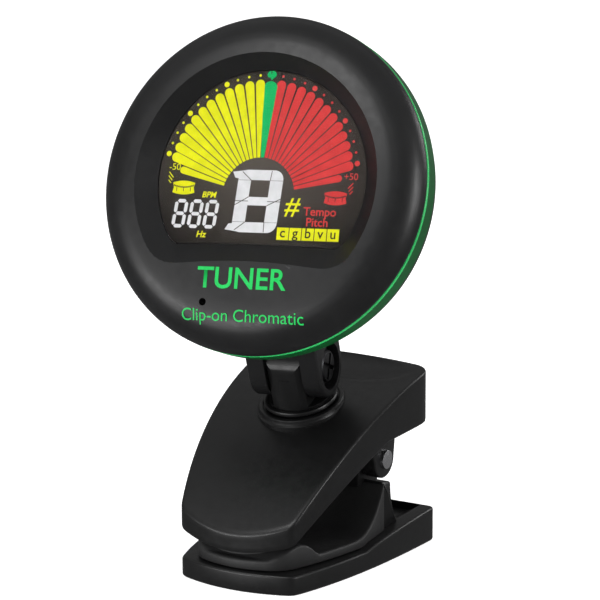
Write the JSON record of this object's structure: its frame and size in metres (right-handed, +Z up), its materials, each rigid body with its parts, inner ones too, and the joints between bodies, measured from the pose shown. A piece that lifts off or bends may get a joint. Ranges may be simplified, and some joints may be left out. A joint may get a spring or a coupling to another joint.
{
  "type": "clip-on tuner",
  "caption": "Round display head on a tilting, swivelling post carried by a sprung clip that grips an instrument's headstock.",
  "frame": {"origin": "centre of the flat base of the lower jaw, which the closed clip stands on", "axes": "+Z up from the base, -Y towards the clip's mouth and the display, +X to the right seen from the front"},
  "size_m": [0.0501, 0.0375, 0.0818],
  "materials": {
    "shell": "moulded black plastic, fine satin texture",
    "clip": "moulded black plastic, satin",
    "pad": "moulded black rubber",
    "cap": "moulded dark rubber",
    "ring": "glossy green plastic",
    "lens": "clear acrylic window",
    "panel": "dark liquid-crystal cell with lit segments",
    "guide": "white acrylic light guide",
    "frame": "white moulded plastic",
    "strip": "grey conductive elastomer",
    "board": "green solder mask",
    "buzzer": "black moulded buzzer case",
    "steel": "bright plated steel",
    "brass": "plain brass",
    "black_steel": "black oxide"
  },
  "bodies": {
    "clip_base": {"lower_jaw": "clip", "lower_pad": "pad", "pivot_pin": "steel", "torsion_spring": "steel"},
    "clip_jaw": {"upper_jaw": "clip", "upper_pad": "pad"},
    "swivel_foot": {"swivel_post": "clip", "collar_ring": "clip", "swivel_screw": "steel", "wave_washer": "steel"},
    "head": {"yoke_bracket": "shell", "tilt_screw": "black_steel", "tilt_nut": "black_steel", "front_shell": "shell", "display_lens": "lens", "accent_ring": "ring", "rear_cover": "shell", "lcd_panel": "panel", "light_guide": "guide", "display_frame": "frame", "contact_strip": "strip", "circuit_board": "board", "microphone": "steel", "buzzer": "buzzer", "piezo_sensor": "brass", "coin_cell": "steel", "negative_contact": "steel", "positive_contact": "steel", "case_screw_1": "black_steel", "case_screw_2": "black_steel", "case_screw_3": "black_steel", "bracket_screw_1": "steel", "bracket_screw_2": "steel", "mode_switch": "steel", "up_switch": "steel", "down_switch": "steel"},
    "mode_button": {"mode_button": "cap"},
    "up_button": {"up_button": "cap"},
    "down_button": {"down_button": "cap"},
    "battery_door": {"battery_door": "shell"}
  },
  "joints": [
    {"name": "jaw_hinge", "type": "hinge", "parent": "clip_base", "child": "clip_jaw", "pos_m": [0, 0.0068, 0.015], "axis": [-1, 0, 0], "range_deg": [0, 28], "stiffness_Nm_per_rad": 0.02, "springref_deg": -28.65, "deforming": ["torsion_spring"]},
    {"name": "post_swivel", "type": "hinge", "parent": "clip_jaw", "child": "swivel_foot", "pos_m": [0, 0.00173, 0.02326], "axis": [0, -0.309, 0.9511], "continuous": true},
    {"name": "head_tilt", "type": "hinge", "parent": "swivel_foot", "child": "head", "pos_m": [0, -0.0004, 0.02982], "axis": [0.9873, 0.1512, 0.0491], "range_deg": [-50, 45]},
    {"name": "mode_press", "type": "slide", "parent": "head", "child": "mode_button", "axis": [0.1227, -0.9211, 0.3695], "range_m": [0, 0.00035], "stiffness_N_per_m": 500, "springref_m": -0.0006},
    {"name": "up_press", "type": "slide", "parent": "head", "child": "up_button", "axis": [0.1227, -0.9211, 0.3695], "range_m": [0, 0.00035], "stiffness_N_per_m": 500, "springref_m": -0.0006},
    {"name": "down_press", "type": "slide", "parent": "head", "child": "down_button", "axis": [0.1227, -0.9211, 0.3695], "range_m": [0, 0.00035], "stiffness_N_per_m": 500, "springref_m": -0.0006},
    {"name": "door_turn", "type": "hinge", "parent": "head", "child": "battery_door", "pos_m": [-0.00199, 0.00249, 0.06098], "axis": [0.1227, -0.9211, 0.3695], "range_deg": [0, 45]}
  ]
}
